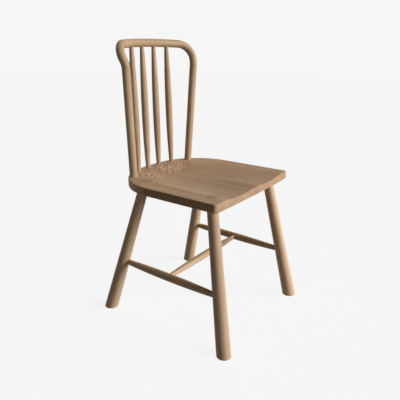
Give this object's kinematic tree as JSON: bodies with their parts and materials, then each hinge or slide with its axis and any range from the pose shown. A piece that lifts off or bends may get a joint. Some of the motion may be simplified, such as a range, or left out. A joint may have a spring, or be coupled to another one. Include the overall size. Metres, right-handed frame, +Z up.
{
  "type": "windsor chair",
  "caption": "Oak spindle-back dining chair: saddled seat on splayed round legs tied by an H of stretchers, with a bent bow back over slim turned spindles.",
  "frame": {"origin": "on the floor, midway between the four feet", "axes": "+X towards the sitter's left, +Y towards the back, +Z up; the front of the seat faces -Y"},
  "size_m": [0.4746, 0.495, 0.8557],
  "materials": {
    "oak_board_pale": "oiled oak, pale board",
    "oak_board_deep": "oiled oak, deeper board",
    "oak_board_even": "oiled oak, even board",
    "oak_board_warm": "oiled oak, warm board",
    "oak_leg": "oiled oak, straight grain",
    "oak_rod": "oiled oak, turned",
    "oak_spindle": "oiled oak, turned",
    "oak_bow": "oiled oak, bent and straight rod",
    "beech_dowel": "bare hardwood dowel"
  },
  "bodies": {
    "root": {"seat_board_right": "oak_board_pale", "seat_board_middle_right": "oak_board_deep", "seat_board_middle_left": "oak_board_even", "seat_board_left": "oak_board_warm", "leg_front_left": "oak_leg", "leg_front_right": "oak_leg", "leg_rear_left": "oak_leg", "leg_rear_right": "oak_leg", "side_stretcher_left": "oak_rod", "side_stretcher_right": "oak_rod", "cross_stretcher": "oak_rod", "spindle_outer_right": "oak_spindle", "spindle_inner_right": "oak_spindle", "spindle_inner_left": "oak_spindle", "spindle_outer_left": "oak_spindle", "post_left": "oak_bow", "post_right": "oak_bow", "elbow_left": "oak_bow", "elbow_right": "oak_bow", "crest_rail": "oak_bow", "dowel_post_left": "beech_dowel", "dowel_post_right": "beech_dowel", "dowel_crest_left": "beech_dowel", "dowel_crest_right": "beech_dowel"}
  },
  "joints": []
}
